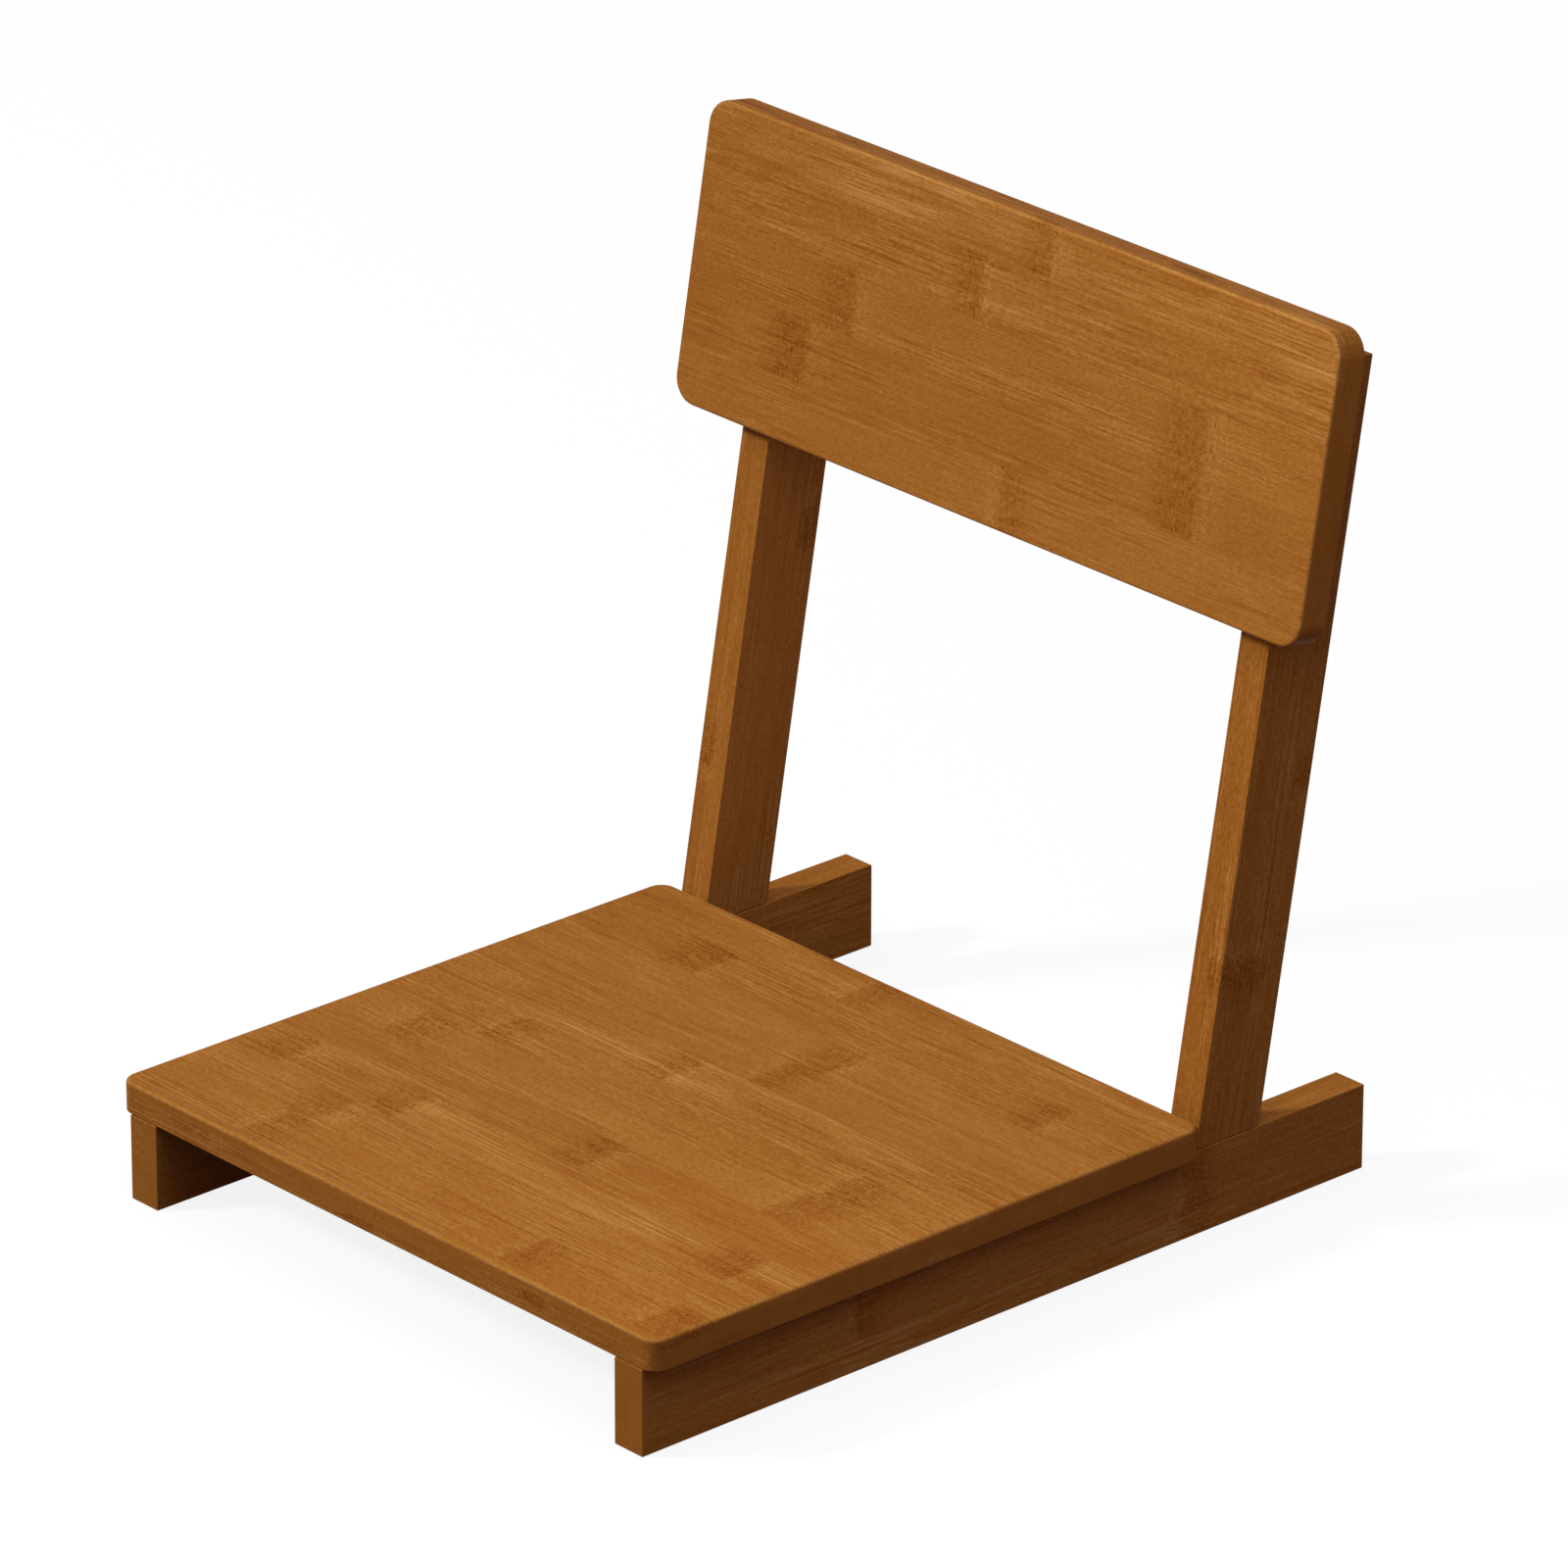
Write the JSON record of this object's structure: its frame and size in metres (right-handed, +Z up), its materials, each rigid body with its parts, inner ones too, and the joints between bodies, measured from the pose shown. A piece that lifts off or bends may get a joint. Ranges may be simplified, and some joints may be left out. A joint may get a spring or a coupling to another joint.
{
  "type": "floor chair",
  "caption": "Low legless floor chair in caramel bamboo: flat seat board on side runners, and a wide backrest board on plain leaning uprights, bolted from the hidden side.",
  "frame": {"origin": "on the floor, under the middle of the overall box, midway along the runners", "axes": "+X to the right as seen from the chair's front, +Y towards its back, +Z up"},
  "size_m": [0.453, 0.48, 0.4716],
  "materials": {
    "bamboo": "laminated caramel bamboo under a satin clear lacquer",
    "dowel": "raw bamboo",
    "fastener": "bright zinc plating",
    "insert": "plain turned brass"
  },
  "bodies": {
    "root": {"seat_board": "bamboo", "backrest_board": "bamboo", "left_runner": "bamboo", "left_upright": "bamboo", "right_runner": "bamboo", "right_upright": "bamboo", "left_front_dowel": "dowel", "left_rear_dowel": "dowel", "left_upright_screw": "fastener", "right_front_dowel": "dowel", "right_rear_dowel": "dowel", "right_upright_screw": "fastener", "left_front_seat_bolt": "fastener", "left_front_seat_washer": "fastener", "left_front_seat_insert": "insert", "left_middle_seat_bolt": "fastener", "left_middle_seat_washer": "fastener", "left_middle_seat_insert": "insert", "left_rear_seat_bolt": "fastener", "left_rear_seat_washer": "fastener", "left_rear_seat_insert": "insert", "right_front_seat_bolt": "fastener", "right_front_seat_washer": "fastener", "right_front_seat_insert": "insert", "right_middle_seat_bolt": "fastener", "right_middle_seat_washer": "fastener", "right_middle_seat_insert": "insert", "right_rear_seat_bolt": "fastener", "right_rear_seat_washer": "fastener", "right_rear_seat_insert": "insert", "left_lower_back_bolt": "fastener", "left_lower_back_washer": "fastener", "left_lower_back_insert": "insert", "left_upper_back_bolt": "fastener", "left_upper_back_washer": "fastener", "left_upper_back_insert": "insert", "right_lower_back_bolt": "fastener", "right_lower_back_washer": "fastener", "right_lower_back_insert": "insert", "right_upper_back_bolt": "fastener", "right_upper_back_washer": "fastener", "right_upper_back_insert": "insert"}
  },
  "joints": []
}
